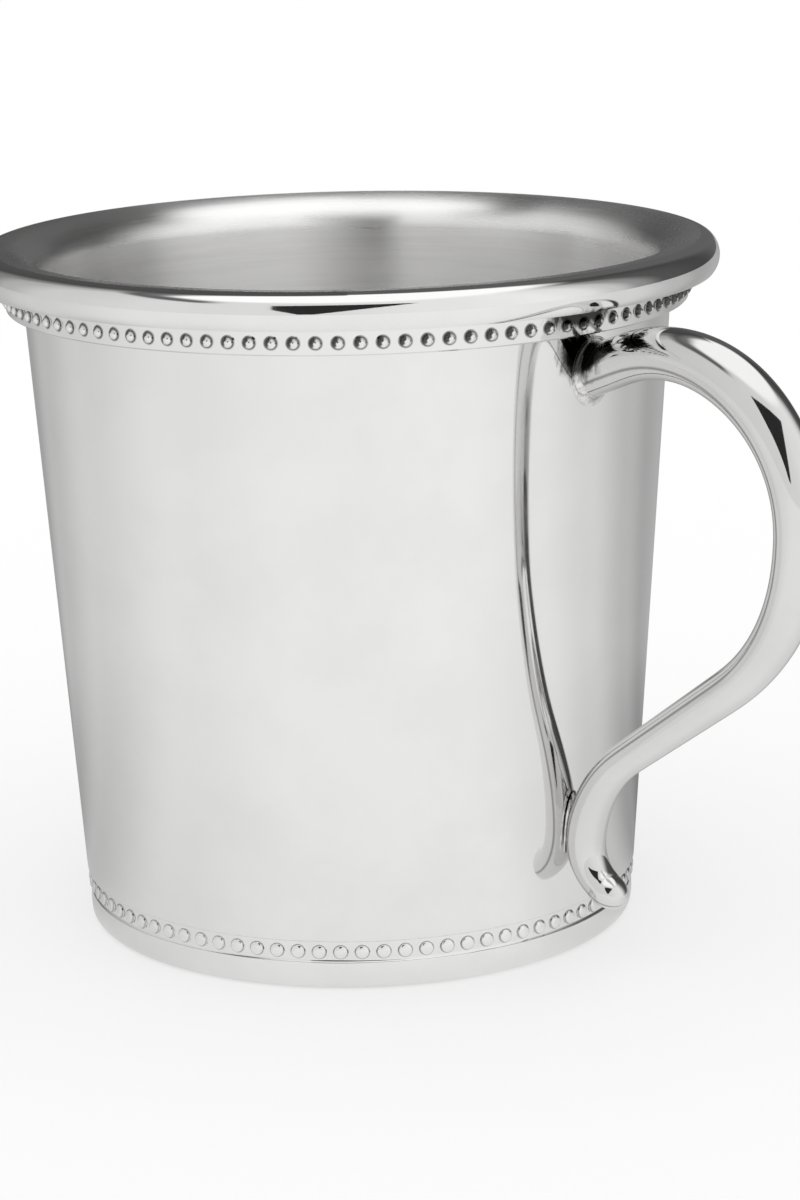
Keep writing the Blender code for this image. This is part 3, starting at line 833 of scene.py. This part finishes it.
def tone_curve(graph, value, stops):
    """Grey level from stops of (degrees, level), read at an angle in turns."""
    made = graph.add("ShaderNodeValToRGB")
    graph.put(made.inputs[0], graph.math("ADD", value, 0.5))
    ramp = made.color_ramp
    ramp.interpolation = "EASE"
    while len(ramp.elements) < len(stops):
        ramp.elements.new(0.5)
    for element, (degrees, level) in zip(ramp.elements, stops):
        element.position = degrees / 360 + 0.5
        element.color = (level, level, level, 1.0)
    return made.outputs[0]


def mirrored_only(graph, level):
    """A level for what the metal mirrors, and full white for everything else."""
    glossy = graph.add("ShaderNodeLightPath").outputs["Is Glossy Ray"]
    return graph.math("MULTIPLY_ADD", glossy, graph.math("SUBTRACT", level, 1.0), 1.0)


def sine(degrees):
    return math.sin(math.radians(degrees))


def make_world():
    """White surround with dark flags that only the metal's reflections see."""
    world = bpy.data.worlds.new("white_studio")
    bpy.context.scene.world = world
    graph = empty_graph(world)
    direction = graph.add("ShaderNodeTexCoord").outputs["Generated"]
    height = graph.add("ShaderNodeSeparateXYZ", None, Vector=direction).outputs[2]
    turns = bearing(graph, direction)
    low = tone_curve(graph, turns, WORLD_TONES)
    rise = graph.ramp(height, sine(52), sine(62))
    surround = graph.math("MULTIPLY_ADD", rise, graph.math("SUBTRACT", TOP_LIGHT, low), low)
    level = graph.ramp(turns, -120 / 360, -50 / 360, sine(58), sine(48), smooth=False)
    away = graph.math("ABSOLUTE", graph.math("SUBTRACT", height, level))
    bar = graph.math("MULTIPLY", graph.ramp(away, 0.08, 0.02), graph.ramp(turns, -45 / 360, -60 / 360))
    surround = graph.math("MULTIPLY", surround, graph.math("SUBTRACT", 1.0, graph.math("MULTIPLY", bar, BAR_DARK)))
    strength = mirrored_only(graph, surround)
    graph.finish(graph.add("ShaderNodeBackground", None, Color=WHITE, Strength=strength), "ShaderNodeOutputWorld")


def make_floor():
    """White table that keeps the soft shadow; in reflections it falls off behind the cup."""
    count, reach = 96, 3000.0
    vertices = [(reach * math.cos(TAU * k / count), reach * math.sin(TAU * k / count), 0.0) for k in range(count)]
    material = bpy.data.materials.new("white_table")
    graph = empty_graph(material)
    place = graph.add("ShaderNodeNewGeometry").outputs["Position"]
    # Painted shadow: the floor that the metal mirrors darkens towards the cup, through a higher power of its tone
    # close to it
    near_cup_painted_shadow = graph.ramp(graph.vector("LENGTH", place), 35 * MM, 110 * MM, 1.7, 1.0)
    tone = graph.math("POWER", tone_curve(graph, bearing(graph, place), FLOOR_TONES), near_cup_painted_shadow)
    level = mirrored_only(graph, tone)
    shade = graph.math("MULTIPLY", level, FLOOR_DIFFUSE)
    colour = graph.add("ShaderNodeCombineColor", None, Red=shade, Green=shade, Blue=shade)
    diffuse = graph.add("ShaderNodeBsdfDiffuse", None, Color=colour.outputs[0])
    glow = graph.add("ShaderNodeEmission", None, Strength=graph.math("MULTIPLY", level, 1.0 - FLOOR_DIFFUSE))
    graph.finish(graph.add("ShaderNodeAddShader", None, i0=diffuse.outputs[0], i1=glow.outputs[0]))
    floor = new_piece("white_table_top", vertices, [tuple(range(count))], [material])
    floor.location.z = -0.00005


def make_card(name, corners):
    """Dark card of the light tent, from corners of (right, front, up); only reflections see it."""
    vertices = [RIGHT * right + FRONT * front + Vector((0.0, 0.0, up)) for right, front, up in corners]
    material = bpy.data.materials.new(name)
    graph = empty_graph(material)
    graph.finish(graph.add("ShaderNodeEmission", None, Color=CARD))
    card = new_piece(name, vertices, [tuple(range(len(vertices)))], [material])
    card.visible_camera = False
    card.visible_diffuse = False
    card.visible_transmission = False
    card.visible_shadow = False


def make_camera():
    """Camera at the place and angle of the photograph."""
    yaw, pitch, roll = CAMERA_YAW, CAMERA_PITCH, CAMERA_ROLL
    ahead = Vector((math.sin(yaw) * math.cos(pitch), math.cos(yaw) * math.cos(pitch), math.sin(pitch)))
    right = Vector((math.cos(yaw), -math.sin(yaw), 0.0))
    up = right.cross(ahead)
    right, up = math.cos(roll) * right + math.sin(roll) * up, math.cos(roll) * up - math.sin(roll) * right
    turn = Matrix.Rotation(HANDLE_TURN, 4, "Z")
    frame_axes = Matrix((right, up, -ahead)).transposed().to_4x4()
    frame_axes.translation = Vector((0.0, -CAMERA_DISTANCE, CAMERA_HEIGHT)) * MM
    data = bpy.data.cameras.new("photo_camera")
    data.sensor_width = 36.0
    data.lens = PHOTO_FOCAL * data.sensor_width / PHOTO_HEIGHT
    data.clip_start, data.clip_end = 0.01, 20.0
    camera = bpy.data.objects.new("photo_camera", data)
    camera.matrix_world = turn @ frame_axes
    bpy.context.scene.collection.objects.link(camera)
    bpy.context.scene.camera = camera


# Scene

build_cup()
make_world()
make_floor()
make_card("tent_slit", SLIT)
make_camera()
bpy.context.scene.view_settings.view_transform = "Standard"
